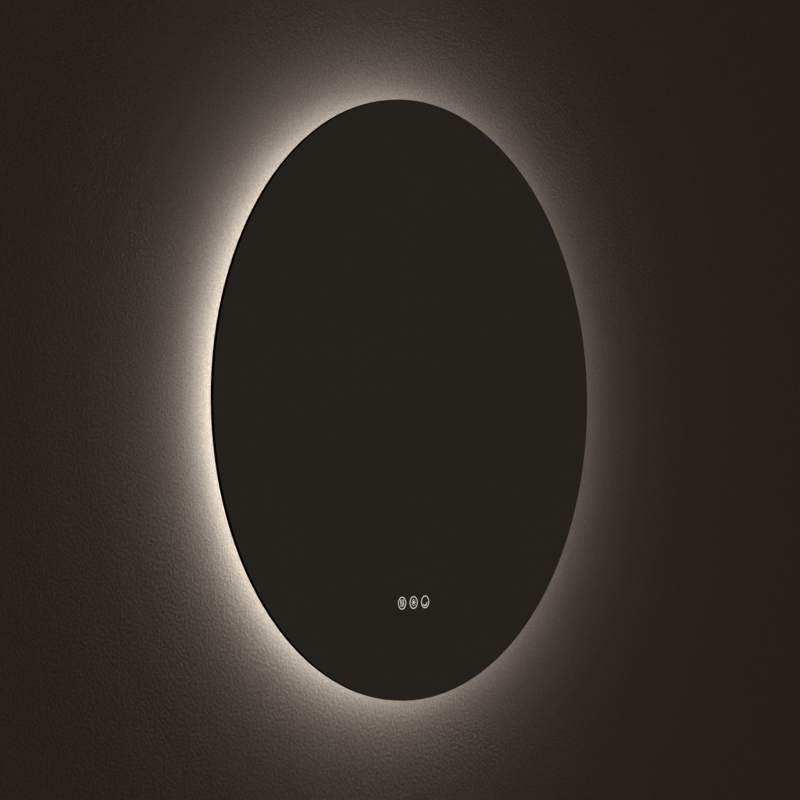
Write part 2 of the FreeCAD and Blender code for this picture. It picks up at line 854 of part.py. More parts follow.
def make_demister_track():
    depth = film_back - cells.demister_thickness - cells.track_thickness
    plate("demister_track", depth, cells.track_thickness, lambda sketch: polygon(sketch, track_corners()))


def make_demister_terminal():
    depth = film_back - cells.demister_thickness - cells.tab_height

    def outline(sketch):
        centre = -(cells.demister_height - cells.tab_width) / 2
        rectangle(sketch, 0, centre, cells.tab_length, cells.tab_width)
    body = plate("demister_terminal", depth, cells.tab_height, outline)
    relief = new_sketch(body, "track_relief", offset=depth + cells.tab_height - cells.track_thickness)
    rectangle(relief, 0, -cells.demister_height / 2, cells.tab_length * 2, cells.tab_width * 3)
    cut(body, relief, cells.track_thickness)


# ---------------------------------------------------------------- leads and clips

def at(across, depth, up):
    return FreeCAD.Vector(across, -depth, up)


def rounded_path(points):
    """Straight runs joined by tangent arcs, each as large as its two runs allow."""
    edges = []
    radii = []
    here = points[0]
    for before, corner, after in zip(points, points[1:], points[2:]):
        incoming = corner - before
        outgoing = after - corner
        half_turn = incoming.getAngle(outgoing) / 2
        setback = 0.45 * min(incoming.Length, outgoing.Length)
        radius = setback / math.tan(half_turn)
        start = corner - incoming.normalize() * setback
        end = corner + outgoing.normalize() * setback
        inward = ((start + end) / 2 - corner).normalize()
        middle = corner + inward * (radius / math.cos(half_turn) - radius)
        edges.append(Part.LineSegment(here, start).toShape())
        edges.append(Part.Arc(start, middle, end).toShape())
        radii.append(radius)
        here = end
    edges.append(Part.LineSegment(here, points[-1]).toShape())
    return Part.Wire(edges), radii


def add_shape(label, shape):
    feature = document.addObject("Part::Feature", label)
    feature.Label = label
    feature.Shape = shape
    feature.Placement = FreeCAD.Placement()
    pieces.append(feature)


def flat_lead(label, points, width, height):
    """A flat cable along the route: its thin side faces the wall where it starts."""
    path, radii = rounded_path(points)
    heading = (points[1] - points[0]).normalize()
    thin = FreeCAD.Vector(0, 1, 0)
    thin = (thin - heading * thin.dot(heading)).normalize()
    wide = heading.cross(thin)
    corners = []
    for side, face in ((-1, -1), (1, -1), (1, 1), (-1, 1), (-1, -1)):
        corners.append(points[0] + wide * (width.value / 2 * side) + thin * (height.value / 2 * face))
    solid = path.makePipeShell([Part.makePolygon(corners)], True, False)
    expected = width.value * height.value * path.Length
    print("%s: tightest radius %.1f, volume ratio %.4f" % (label, min(radii), solid.Volume / expected))
    add_shape(label, solid)


MAINS_ROUTE = [at(95, 9.5, -66), at(62, 9.5, -66.5), at(14, 13.2, -61.5), at(-40, 13.5, -61)]
SENSOR_ROUTE = [
    at(-140, 12, -83), at(-138.5, 9, -120), at(-100, 9, -178), at(-38, 23.4, -222), at(-36, 25, -253.6),
]
STRIP_ROUTE = [at(-4, 24.2, -287.6), at(-1, 22.6, -312), at(0, 21.25, -343)]
DEMISTER_ROUTE = [at(24, 25, -253.6), at(23, 26, -222), at(7, 28, -184), at(5, 28.4, -150)]
EARTH_ROUTE = [at(129, 11, -66), at(164, 11, -66), at(164, 11, -18.65)]


def make_leads():
    flat_lead("mains_lead", MAINS_ROUTE, cells.mains_lead_width, cells.mains_lead_height)
    flat_lead("sensor_lead", SENSOR_ROUTE, cells.low_lead_width, cells.low_lead_height)
    flat_lead("strip_lead", STRIP_ROUTE, cells.low_lead_width, cells.low_lead_height)
    flat_lead("demister_lead", DEMISTER_ROUTE, cells.low_lead_width, cells.low_lead_height)
    flat_lead("earth_lead", EARTH_ROUTE, cells.earth_lead_size, cells.earth_lead_size)


def clip_on(start, end, lead_width, lead_height):
    """A stick-on saddle on the pan, square to a run of a lead and open round it."""
    length = cells.clip_length.value
    play = cells.clip_play.value
    wall = cells.clip_wall.value
    middle = (start + end) / 2
    lead_centre = -middle.y - pan_front.value
    half_width = lead_width.value / 2 + play
    half_height = lead_height.value / 2 + play
    outer_width = half_width + wall
    top = lead_centre + half_height + wall
    body = Part.makeBox(outer_width * 2, top, length, FreeCAD.Vector(-outer_width, 0, -length / 2))
    window = Part.makeBox(half_width * 2, half_height * 2, length * 2,
                          FreeCAD.Vector(-half_width, lead_centre - half_height, -length))
    saddle = body.cut(window)
    run = end - start
    heading = math.degrees(math.atan2(run.x, run.z))
    saddle.rotate(FreeCAD.Vector(), FreeCAD.Vector(0, 0, 1), 180)
    saddle.rotate(FreeCAD.Vector(), FreeCAD.Vector(0, 1, 0), heading)
    saddle.translate(FreeCAD.Vector(middle.x, -pan_front.value, middle.z))
    return saddle


def make_cable_clips():
    clips = [
        clip_on(SENSOR_ROUTE[1], SENSOR_ROUTE[2], cells.low_lead_width, cells.low_lead_height),
        clip_on(MAINS_ROUTE[1], MAINS_ROUTE[2], cells.mains_lead_width, cells.mains_lead_height),
    ]
    add_shape("cable_clips", Part.makeCompound(clips))


# ---------------------------------------------------------------- build, check and write

def check_document():
    document.recompute()
    for item in document.Objects:
        if "Invalid" in item.State or "Error" in item.State:
            raise RuntimeError("%s did not build: %s" % (item.Name, item.State))
    for feature in cutting_features:
        before = feature.BaseFeature.Shape.Volume
        if not feature.Shape.Volume < before - 1e-3:
            raise RuntimeError("%s removes nothing" % feature.Name)
    for piece in pieces:
        if piece.Shape.isNull() or not piece.Shape.isValid() or not piece.Shape.Solids:
            raise RuntimeError("%s has no sound shape" % piece.Label)


def write_pieces():
    os.makedirs("parts", exist_ok=True)
    for piece in pieces:
        piece.Shape.exportStep("parts/%s.step" % piece.Label)
        print("%-20s %3d solid(s) %12.1f mm3" % (piece.Label, len(piece.Shape.Solids), piece.Shape.Volume))


make_mirror_glass()
make_backing_film()
make_frame_tape()
make_frame_ring()
make_ring_joiner()
make_led_diffuser()
make_led_strip()
make_led_chips()
make_back_pan()
make_pan_screws()
make_hanging_rail()
make_hook("left_hook", -1)
make_hook("right_hook", 1)
make_driver_tape()
make_driver_case()
make_driver_lid()
make_driver_board()
make_terminal_block()
make_terminal_cover()
make_earth_tab()
make_earth_receptacle()
make_cable_grommet()
make_touch_sensor_case()
make_touch_sensor_board()
make_touch_light_guides()
make_demister_pad()
make_demister_track()
make_demister_terminal()
make_leads()
make_cable_clips()
check_document()
write_pieces()
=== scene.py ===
import json
import math

import bmesh
import bpy
from mathutils import Matrix, Vector


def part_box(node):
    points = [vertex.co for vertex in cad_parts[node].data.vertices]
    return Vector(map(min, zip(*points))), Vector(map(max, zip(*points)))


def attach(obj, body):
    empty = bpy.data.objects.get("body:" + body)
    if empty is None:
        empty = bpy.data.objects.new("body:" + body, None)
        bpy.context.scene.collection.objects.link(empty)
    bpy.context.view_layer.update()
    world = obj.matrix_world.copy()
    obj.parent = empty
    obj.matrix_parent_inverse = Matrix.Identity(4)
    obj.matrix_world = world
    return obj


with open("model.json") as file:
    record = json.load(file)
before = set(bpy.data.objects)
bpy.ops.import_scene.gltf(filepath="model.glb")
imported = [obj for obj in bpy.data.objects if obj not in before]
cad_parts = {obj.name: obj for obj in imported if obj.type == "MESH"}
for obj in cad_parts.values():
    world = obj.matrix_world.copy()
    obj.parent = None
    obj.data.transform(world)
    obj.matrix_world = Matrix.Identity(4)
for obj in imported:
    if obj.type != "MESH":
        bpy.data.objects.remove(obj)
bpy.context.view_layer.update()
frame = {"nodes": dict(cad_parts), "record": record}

# A round back-lit bathroom mirror, dressed on its frame.  Metres.  +X right as seen from the room,
# +Z up, -Y into the room, the wall plane at Y = 0.

MM = 0.001

# ------------------------------------------------------------ sizes read from the frame

glass_low, glass_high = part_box("mirror_glass")
GLASS_RADIUS = glass_high.x
GLASS_FRONT = glass_low.y
GLASS_ARRIS = 0.6 * MM
diffuser_low, diffuser_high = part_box("led_diffuser")
DIFFUSER_RADIUS = diffuser_high.x
guide_low, guide_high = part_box("touch_light_guides")
SIGN_ABOVE_GUIDE = 0.8 * MM  # the signs sit a little above the middle of the guides
SIGN_HEIGHT = (guide_low.z + guide_high.z) / 2 + SIGN_ABOVE_GUIDE
guide_width = guide_high.z - guide_low.z  # each guide is as wide as it is high
SIGN_PITCH = (guide_high.x - guide_low.x - guide_width) / 2
CHIP_COUNT = 63  # light chips round the ring

# ------------------------------------------------------------ node trees written as Python


class Socket:
    """An output of a node, with arithmetic that adds its own Math nodes."""

    def __init__(self, graph, socket):
        self.graph = graph
        self.socket = socket

    def output(self, name):
        """Another output of the same node."""
        return Socket(self.graph, self.socket.node.outputs[name])

    def math(self, operation, *values):
        return self.graph.node("ShaderNodeMath", {"operation": operation}, values)

    def __add__(self, other):
        return self.math("ADD", self, other)

    def __radd__(self, other):
        return self.math("ADD", other, self)

    def __sub__(self, other):
        return self.math("SUBTRACT", self, other)

    def __rsub__(self, other):
        return self.math("SUBTRACT", other, self)

    def __mul__(self, other):
        return self.math("MULTIPLY", self, other)

    def __rmul__(self, other):
        return self.math("MULTIPLY", other, self)

    def __truediv__(self, other):
        return self.math("DIVIDE", self, other)

    def __gt__(self, other):
        return self.math("GREATER_THAN", self, other)

    def __lt__(self, other):
        return self.math("LESS_THAN", self, other)

    def root(self):
        return self.math("SQRT", self)

    def sine(self):
        return self.math("SINE", self)

    def cosine(self):
        return self.math("COSINE", self)

    def magnitude(self):
        return self.math("ABSOLUTE", self)


def colour(value):
    """Adds the fourth number that a colour socket takes."""
    return value if isinstance(value, Socket) else (*value, 1.0)


class Graph:
    """A node tree with one method that makes any node."""

    def __init__(self, tree):
        self.tree = tree

    def node(self, kind, settings=None, inputs=(), output=0):
        """Settings are set first, then each input gets its number, colour or link."""
        made = self.tree.nodes.new(kind)
        for name, value in (settings or {}).items():
            setattr(made, name, value)
        named = inputs.items() if isinstance(inputs, dict) else enumerate(inputs)
        for name, value in named:
            self.feed(made.inputs[name], value)
        return Socket(self, made.outputs[output])

    def feed(self, target, value):
        """Links a socket, or sets a plain value."""
        if isinstance(value, Socket):
            self.tree.links.new(value.socket, target)
        else:
            target.default_value = value

    def vector(self, x, y, z):
        return self.node("ShaderNodeCombineXYZ", inputs=[x, y, z])

    def blend(self, factor, first, second):
        """From the first colour at 0 to the second at 1."""
        inputs = {0: factor, 6: colour(first), 7: colour(second)}
        return self.node("ShaderNodeMix", {"data_type": "RGBA"}, inputs, output=2)


class Finish(Graph):
    """A material around one Principled shader.  Uniform values are set on its own sockets."""

    def __init__(self, name, **uniform):
        self.material = bpy.data.materials.new(name)
        self.material.use_nodes = True
        super().__init__(self.material.node_tree)
        self.shader = self.tree.nodes["Principled BSDF"]
        self.drive(**uniform)

    def drive(self, **values):
        """Sets or links the shader's own sockets and gives back the material."""
        for socket, value in values.items():
            self.feed(self.shader.inputs[socket.replace("_", " ")], value)
        return self.material

    def show(self, shader):
        """Makes another shader the material's surface."""
        self.feed(self.tree.nodes["Material Output"].inputs["Surface"], shader)

    def place(self):
        """Where a point lies on the object, in metres."""
        return self.node("ShaderNodeTexCoord", output="Object")

    def axes(self, place=None):
        """X, Y and Z of a place."""
        x = self.node("ShaderNodeSeparateXYZ", inputs=[place or self.place()])
        return x, x.output("Y"), x.output("Z")

    def noise(self, place, scale, detail=3.0, roughness=0.5):
        """A cloud of values about 0.5.  scale is in patches to the metre."""
        inputs = {"Vector": place, "Scale": scale, "Detail": detail, "Roughness": roughness}
        return self.node("ShaderNodeTexNoise", inputs=inputs)

    def cells(self, place, scale, output="Distance"):
        """Irregular cells: the distance from each one's middle, or a colour of its own."""
        inputs = {"Vector": place, "Scale": scale}
        return self.node("ShaderNodeTexVoronoi", inputs=inputs, output=output)

    def between(self, value, low, high, start=0.0, end=1.0, kind="SMOOTHSTEP"):
        """Start below low, end above high, and a smooth way from one to the other."""
        settings = {"interpolation_type": kind, "clamp": True}
        return self.node("ShaderNodeMapRange", settings, [value, low, high, start, end])

    def bump(self, height, depth, strength, under=None):
        """Relief on the surface, laid over another relief where one is given."""
        inputs = {"Height": height, "Distance": depth, "Strength": strength}
        if under is not None:
            inputs["Normal"] = under
        return self.node("ShaderNodeBump", inputs=inputs)


def shaded(tone, share):
    """The tone made darker or paler."""
    return tuple(part * share for part in tone)


def ring_axes(finish):
    """Radius from the mirror's axis, Y, and the angle from the top, in radians."""
    x, y, z = finish.axes()
    radius = (x * x + z * z).root()
    angle = x.math("ARCTAN2", x, z)
    return radius, y, angle


# ------------------------------------------------------------ finishes: glass, film, light

# Two tones in a pair are the ends that a finish wanders between.  Where a place is stretched, a
# larger factor on an axis makes the pattern finer along it.
SILVER_TONES = ((0.93, 0.935, 0.93), (0.90, 0.91, 0.905))
SILVER_MARGIN = 0.15 * MM  # keeps the silvering off the arris between the ring's corners
SILVER_RADIUS = GLASS_RADIUS - GLASS_ARRIS - SILVER_MARGIN
FACE_DEPTH = 0.02 * MM  # whatever lies within this of the front is the face
# The edge's near-black tones are partly the dark glass and partly painted shade, standing in for
# the shade and dark reflections on it.
EDGE_GLASS_AND_SHADE_TONES = ((0.0012, 0.0010, 0.0008), (0.0022, 0.0024, 0.0021))
SCRIM_WAVE = 2600.0  # radians to the metre, across and along the weave
FILM_TONES = ((0.235, 0.245, 0.25), (0.31, 0.32, 0.325))
SCRIM_TONE = (0.42, 0.43, 0.43)
OPAL_TONES = ((0.92, 0.91, 0.88), (0.96, 0.95, 0.93))
GUIDE_TONES = ((0.90, 0.90, 0.88), (0.96, 0.96, 0.95))
GUIDE_GLOW_TONES = ((0.80, 0.78, 0.74), (0.90, 0.88, 0.85))
SIGN_TONES = ((0.55, 0.54, 0.52), (0.62, 0.61, 0.60))
SIGN_GLOW_TONES = ((0.78, 0.74, 0.69), (0.90, 0.86, 0.82))
LED_WHITE = (1.0, 0.955, 0.885)
LED_STRENGTH = 10.5
CHIP_RIPPLE = 0.04  # how much each chip shows through the band
FED_END_EXTRA = 0.20  # how much brighter the band is where it is fed
BAND_EDGE_LOSS = 0.12  # how much darker it is along its two edges


def mirror_finish():
    """Silvering seen through clear glass on the face; round the edge, dark polished glass painted
    near black with no shine: its own dark tone and painted shade.
    """
    finish = Finish("silvered_glass", Specular_IOR_Level=0.0)
    radius, y, _ = ring_axes(finish)
    place = finish.place()
    face = (radius < SILVER_RADIUS) * (y < GLASS_FRONT + FACE_DEPTH)
    haze = finish.noise(place, scale=5.0, detail=5.0, roughness=0.6)
    breath = finish.noise(place, scale=38.0, detail=2.0)
    silver = finish.blend(haze, *SILVER_TONES)
    edge = finish.blend(breath, *EDGE_GLASS_AND_SHADE_TONES)
    polish = 0.012 + haze * 0.012 + breath * 0.006
    return finish.drive(
        Base_Color=finish.blend(face, edge, silver),
        Metallic=face,
        Roughness=polish + (1.0 - face) * 0.10,
    )


def film_finish():
    """Grey safety film with a fine woven scrim, pressed on the painted back of the glass."""
    finish = Finish("safety_film", Specular_IOR_Level=0.4)
    x, y, z = finish.axes()
    place = finish.place()
    across = (x * SCRIM_WAVE).sine().magnitude()
    up = (z * SCRIM_WAVE).sine().magnitude()
    scrim = across.math("MAXIMUM", across, up)
    cloud = finish.noise(place, scale=9.0, detail=4.0)
    streak = finish.noise(finish.vector(x * 6.0, y, z * 90.0), scale=1.0)
    base = finish.blend(cloud, *FILM_TONES)
    threads = finish.blend(scrim * 0.35, base, SCRIM_TONE)
    return finish.drive(
        Base_Color=threads,
        Roughness=0.42 + streak * 0.22,
        Normal=finish.bump(scrim + cloud * 0.4, depth=0.12 * MM, strength=0.5),
    )


def opal_finish():
    """Opal band lit from behind by evenly spaced light chips, brightest at the bottom, where
    they are fed."""
    finish = Finish("lit_opal", Roughness=0.45, Emission_Strength=LED_STRENGTH)
    _, y, angle = ring_axes(finish)
    glow = (1.0 - CHIP_RIPPLE) + (angle * CHIP_COUNT).cosine() * CHIP_RIPPLE
    lower = 0.5 - angle.cosine() * 0.5
    fed = 1.0 + lower * lower * lower * FED_END_EXTRA
    band = finish.between(y, diffuser_low.y, diffuser_high.y, -1.0, 1.0, kind="LINEAR")
    level = glow * fed * (1.0 - band * band * BAND_EDGE_LOSS)
    scaled = {0: LED_WHITE, "Scale": level}
    light = finish.node("ShaderNodeVectorMath", {"operation": "SCALE"}, scaled)
    cloud = finish.noise(finish.place(), scale=30.0)
    return finish.drive(
        Base_Color=finish.blend(cloud, *OPAL_TONES),
        Emission_Color=light,
    )


def guide_finish():
    """Opal blocks that carry the sign lamps' light to the glass."""
    finish = Finish("sign_guide_opal", Roughness=0.4, Emission_Strength=0.6)
    cloud = finish.noise(finish.place(), scale=160.0)
    return finish.drive(
        Base_Color=finish.blend(cloud, *GUIDE_TONES),
        Emission_Color=finish.blend(cloud, *GUIDE_GLOW_TONES),
    )


def sign_finish(name, level):
    """Clear line work in the silvering, lit from behind with a slightly uneven glow."""
    finish = Finish(name, Roughness=0.35, Emission_Strength=level)
    grain = finish.noise(finish.place(), scale=420.0, detail=2.0)
    return finish.drive(
        Base_Color=finish.blend(grain, *SIGN_TONES),
        Emission_Color=finish.blend(grain, *SIGN_GLOW_TONES),
    )


# ------------------------------------------------------------ finishes: metals

FINE_RELIEF = 0.03 * MM
ZINC_PALER = 1.30
DRAW_LINES = 2400.0
ANODISED_TONES = ((0.69, 0.70, 0.71), (0.79, 0.80, 0.81))
DRAW_LINE_TONE = (0.60, 0.61, 0.62)
SPANGLE_SCALE = 78.0
SPANGLE_TONES = ((0.28, 0.30, 0.32), (0.70, 0.72, 0.74))
DULL_TONE = (0.44, 0.46, 0.47)
HANDLED_TONE = (0.72, 0.73, 0.74)
PASSIVATED_TONE = (0.50, 0.48, 0.36)
STAIN_TONE = (0.30, 0.31, 0.31)
SCUFF_TONE = (0.74, 0.74, 0.73)
WELD_TONES = ((0.07, 0.06, 0.05), (0.24, 0.22, 0.20))
TINNED_TONES = ((0.74, 0.73, 0.68), (0.72, 0.60, 0.34))
TRACK_TONES = ((0.46, 0.47, 0.49), (0.60, 0.61, 0.62))


def anodised_finish():
    """Satin anodised extrusion with fine draw lines that run round the ring."""
    finish = Finish("anodised_aluminium")
    radius, y, angle = ring_axes(finish)
    along = finish.vector(radius * DRAW_LINES, y * DRAW_LINES, angle * 5.0)
    lines = finish.noise(along, scale=1.0, detail=4.0, roughness=0.6)
    cloud = finish.noise(finish.place(), scale=14.0)
    base = finish.blend(cloud, *ANODISED_TONES)
    return finish.drive(
        Base_Color=finish.blend(lines * 0.4, base, DRAW_LINE_TONE),
        Metallic=0.92 + cloud * 0.08,
        Roughness=0.30 + lines * 0.12 + cloud * 0.06,
        Normal=finish.bump(lines, depth=FINE_RELIEF, strength=0.6),
    )


def galvanised_finish():
    """Hot-dip galvanised sheet: crystalline spangle, a few rolling lines and dull patches."""
    finish = Finish("galvanised_sheet")
    x, _, z = finish.axes()
    flat = finish.vector(x, 0.0, z)
    bent = finish.noise(flat, scale=26.0, detail=2.0)
    warped = finish.vector(x + bent * 0.010, 0.0, z - bent * 0.012)
    spangle = finish.cells(warped, scale=SPANGLE_SCALE, output="Color")
    grey = finish.node("ShaderNodeSeparateColor", inputs=[spangle])
    turn = grey.output("Green")
    fronds = finish.vector(x * 420.0 + z * 900.0 * turn, turn * 9.0, z * 150.0)
    fern = finish.noise(fronds, scale=1.0)
    edge = finish.between(finish.cells(warped, scale=SPANGLE_SCALE), 0.0, 0.5)
    dull = finish.between(finish.noise(flat, scale=4.5, detail=4.0), 0.42, 0.66)
    tone = grey * 0.5 + fern * 0.36 + edge * 0.14
    base = finish.blend(tone, *SPANGLE_TONES)
    wiped = finish.vector(x * 5.0, 0.0, z * 160.0)
    handled = finish.between(finish.noise(wiped, scale=1.0), 0.62, 0.70)
    dulled = finish.blend(dull * 0.45, base, DULL_TONE)
    dents = finish.bump(bent, depth=0.6 * MM, strength=0.25)
    return finish.drive(
        Base_Color=finish.blend(handled * 0.25, dulled, HANDLED_TONE),
        Metallic=0.95 - dull * 0.25,
        Roughness=0.27 + turn * 0.20 + dull * 0.12 - handled * 0.05,
        Normal=finish.bump(tone, depth=FINE_RELIEF, strength=0.5, under=dents),
    )


def zinc_finish(name, along_x, tint, worn):
    """Zinc plate over pressed steel.  along_x stretches the press lines along X."""
    finish = Finish(name)
    place = finish.place()
    x, y, z = finish.axes(place)
    pressed = finish.vector(x * along_x, y * 1500.0, z * 1500.0)
    lines = finish.noise(pressed, scale=1.0, detail=4.0, roughness=0.6)
    cloud = finish.between(finish.noise(place, scale=26.0, detail=5.0, roughness=0.62), 0.36, 0.66)
    stain = finish.between(finish.noise(place, scale=75.0, detail=4.0), 0.48, 0.66)
    bloom = finish.between(finish.noise(place, scale=9.0), 0.45, 0.70)
    rubbed = finish.vector(x * 34.0, y, z * 420.0)
    scuff = finish.between(finish.noise(rubbed, scale=1.0, detail=2.0), 0.66, 0.74)
    base = finish.blend(cloud, tint, shaded(tint, ZINC_PALER))
    passivated = finish.blend(bloom * 0.35, base, PASSIVATED_TONE)
    stained = finish.blend(stain * worn, passivated, STAIN_TONE)
    return finish.drive(
        Base_Color=finish.blend(scuff * 0.6, stained, SCUFF_TONE),
        Metallic=0.97 - stain * 0.15,
        Roughness=0.24 + lines * 0.18 + stain * 0.14 - scuff * 0.08,
        Normal=finish.bump(lines, depth=FINE_RELIEF, strength=0.6),
    )


def weld_finish():
    """Zinc burnt by a spot weld: patchy brown and grey."""
    finish = Finish("heat_tinted_weld", Metallic=0.9)
    cloud = finish.noise(finish.place(), scale=380.0)
    return finish.drive(
        Base_Color=finish.blend(cloud, *WELD_TONES),
        Roughness=0.38 + cloud * 0.2,
    )


def tinned_finish():
    """Tinned brass whose yellow shows through in patches."""
    finish = Finish("tinned_brass", Metallic=1.0)
    cloud = finish.noise(finish.place(), scale=260.0)
    worn = finish.between(cloud, 0.45, 0.75)
    return finish.drive(
        Base_Color=finish.blend(worn, *TINNED_TONES),
        Roughness=0.24 + cloud * 0.14,
        Normal=finish.bump(cloud, depth=FINE_RELIEF, strength=0.4),
    )


def heating_track_finish():
    """Etched metal track on the heating foil, with its fine rolled grain."""
    finish = Finish("etched_track")
    x, y, z = finish.axes()
    grain = finish.noise(finish.vector(x * 60.0, y, z * 900.0), scale=1.0)
    return finish.drive(
        Base_Color=finish.blend(grain, *TRACK_TONES),
        Metallic=0.90 + grain * 0.1,
        Roughness=0.32 + grain * 0.12,
    )


# ------------------------------------------------------------ finishes: plastics, rubber and boards

FOAM_AND_PORE_SHADE_TONES = ((0.02, 0.02, 0.021), (0.05, 0.05, 0.052))
RUBBER_TONES = ((0.014, 0.014, 0.015), (0.045, 0.044, 0.043))
MASK_TONES = ((0.012, 0.10, 0.045), (0.03, 0.20, 0.09))
BARE_PAD = (0.62, 0.60, 0.55)
STRIP_TONES = ((0.80, 0.80, 0.77), (0.88, 0.88, 0.86))
STRIP_PAD = (0.72, 0.55, 0.32)
STRIP_PAD_OFFSET = 3.2 * MM
STRIP_PAD_EDGE = 0.92  # of the sine that runs once round for each chip
CHIP_FRAME = (0.85, 0.85, 0.82)
CHIP_UNLIT = (0.0, 0.0, 0.0)
PHOSPHOR_TONES = ((0.80, 0.62, 0.12), (0.90, 0.72, 0.20))
CHIP_WINDOW_DEPTH = 7.7 * MM  # how far the windows lie inside the diffuser's outer face
FOIL_TONES = ((0.50, 0.28, 0.07), (0.66, 0.40, 0.13))


def moulded_finish(name, tones, roughness):
    """Fine-textured moulded plastic with faint flow marks."""
    finish = Finish(name, Specular_IOR_Level=0.5)
    place = finish.place()
    grain = finish.noise(place, scale=1500.0, detail=2.0)
    flow = finish.noise(place, scale=24.0, detail=4.0)
    return finish.drive(
        Base_Color=finish.blend(flow, *tones),
        Roughness=roughness + grain * 0.12,
        Normal=finish.bump(grain, depth=0.06 * MM, strength=0.5),
    )


def foam_tape_finish():
    """Closed-cell foam: small open pores along its cut sides, darker in their hollows as painted
    shade.
    """
    finish = Finish("foam_tape_black")
    place = finish.place()
    # The pores' hollows get the darker tone: painted shade.
    pores = finish.between(finish.cells(place, scale=1400.0), 0.08, 0.4)
    return finish.drive(
        Base_Color=finish.blend(pores, *FOAM_AND_PORE_SHADE_TONES),
        Roughness=0.75 + pores * 0.15,
        Normal=finish.bump(pores, depth=0.2 * MM, strength=0.6),
    )


def entry_rubber_finish():
    """Moulded rubber with a dusty bloom."""
    finish = Finish("bush_rubber", Specular_IOR_Level=0.35)
    place = finish.place()
    bloom = finish.between(finish.noise(place, scale=120.0, detail=4.0), 0.40, 0.75)
    grain = finish.noise(place, scale=2600.0, detail=2.0)
    return finish.drive(
        Base_Color=finish.blend(bloom, *RUBBER_TONES),
        Roughness=0.55 + bloom * 0.2,
        Normal=finish.bump(grain, depth=0.05 * MM, strength=0.6),
    )


def board_finish():
    """Solder mask with paler tracks beneath it and bare pads."""
    finish = Finish("board_mask")
    x, _, z = finish.axes()
    laid = finish.vector(x * 95.0, z * 95.0, 0.0)
    inputs = {"Vector": laid, "Scale": 1.0, "Mortar Size": 0.06}
    tracks = finish.node("ShaderNodeTexBrick", inputs=inputs, output="Fac")
    pads = finish.cells(finish.vector(x, 0.0, z), scale=210.0) < 0.16
    mask = finish.blend(tracks, *MASK_TONES)
    return finish.drive(
        Base_Color=finish.blend(pads, mask, BARE_PAD),
        Metallic=pads * 0.8,
        Roughness=0.28 + tracks * 0.12,
        Normal=finish.bump(tracks + pads, depth=0.05 * MM, strength=0.5),
    )


def strip_finish():
    """White flexible circuit with solder pads between its chips."""
    finish = Finish("white_circuit_strip")
    _, y, angle = ring_axes(finish)
    pitch = (angle * CHIP_COUNT).sine()
    middle = (diffuser_low.y + diffuser_high.y) / 2
    beside = (y - middle).magnitude() > STRIP_PAD_OFFSET
    pads = (pitch > STRIP_PAD_EDGE) * beside
    cloud = finish.noise(finish.place(), scale=80.0)
    white = finish.blend(cloud, *STRIP_TONES)
    return finish.drive(
        Base_Color=finish.blend(pads, white, STRIP_PAD),
        Metallic=pads,
        Roughness=0.38 + cloud * 0.1,
    )


def chip_finish():
    """Light chip: white frame with a yellow phosphor window."""
    finish = Finish("phosphor_chip", Roughness=0.3, Emission_Strength=2.0)
    radius, _, _ = ring_axes(finish)
    cloud = finish.noise(finish.place(), scale=700.0)
    window = radius > DIFFUSER_RADIUS - CHIP_WINDOW_DEPTH
    phosphor = finish.blend(cloud, *PHOSPHOR_TONES)
    return finish.drive(
        Base_Color=finish.blend(window, CHIP_FRAME, phosphor),
        Emission_Color=finish.blend(window, CHIP_UNLIT, LED_WHITE),
    )


def foil_finish():
    """Amber heating foil, slightly crinkled."""
    finish = Finish("amber_foil", Coat_Roughness=0.15, Coat_Weight=0.6)
    crinkle = finish.noise(finish.place(), scale=34.0, detail=5.0, roughness=0.6)
    return finish.drive(
        Base_Color=finish.blend(crinkle, *FOIL_TONES),
        Roughness=0.35 + crinkle * 0.15,
        Normal=finish.bump(crinkle, depth=0.5 * MM, strength=0.4),
    )


def sleeve_finish(name, tones):
    """Extruded cable sleeve: faint lines along it and a slightly waxy sheen."""
    finish = Finish(name, Specular_IOR_Level=0.45)
    place = finish.place()
    smear = finish.noise(place, scale=110.0, detail=4.0)
    grain = finish.noise(place, scale=1800.0, detail=2.0)
    return finish.drive(
        Base_Color=finish.blend(smear, *tones),
        Roughness=0.42 + smear * 0.15,
        Normal=finish.bump(grain, depth=0.04 * MM, strength=0.4),
    )


# ------------------------------------------------------------ a finish for every slot

RAIL_STEEL = {"along_x": 18.0, "tint": (0.43, 0.44, 0.455), "worn": 0.45}
SCREW_STEEL = {"along_x": 900.0, "tint": (0.45, 0.39, 0.25), "worn": 0.5}
WHITE_PLASTIC = {"tones": ((0.78, 0.78, 0.76), (0.86, 0.86, 0.84)), "roughness": 0.42}
BLACK_PLASTIC = {"tones": ((0.018, 0.018, 0.02), (0.035, 0.035, 0.037)), "roughness": 0.45}
WHITE_SLEEVE_TONES = ((0.74, 0.74, 0.72), (0.86, 0.86, 0.84))
GREEN_SLEEVE_TONES = ((0.07, 0.26, 0.05), (0.12, 0.38, 0.08))
FINISHES = {
    "mirror_glass": mirror_finish(),
    "backing_film": film_finish(),
    "foam_tape": foam_tape_finish(),
    "anodised_frame": anodised_finish(),
    "opal_diffuser": opal_finish(),
    "circuit_strip": strip_finish(),
    "light_chips": chip_finish(),
    "pan_steel": galvanised_finish(),
    "rail_steel": zinc_finish("zinc_plated_rail", **RAIL_STEEL),
    "fastener_steel": zinc_finish("zinc_plated_screw", **SCREW_STEEL),
    "white_housing": moulded_finish("white_moulding", **WHITE_PLASTIC),
    "dark_housing": moulded_finish("black_moulding", **BLACK_PLASTIC),
    "circuit_board": board_finish(),
    "tinned_tab": tinned_finish(),
    "entry_rubber": entry_rubber_finish(),
    "demister_foil": foil_finish(),
    "heating_track": heating_track_finish(),
    "lead_sleeve": sleeve_finish("white_sleeve", WHITE_SLEEVE_TONES),
    "earth_sleeve": sleeve_finish("green_sleeve", GREEN_SLEEVE_TONES),
}


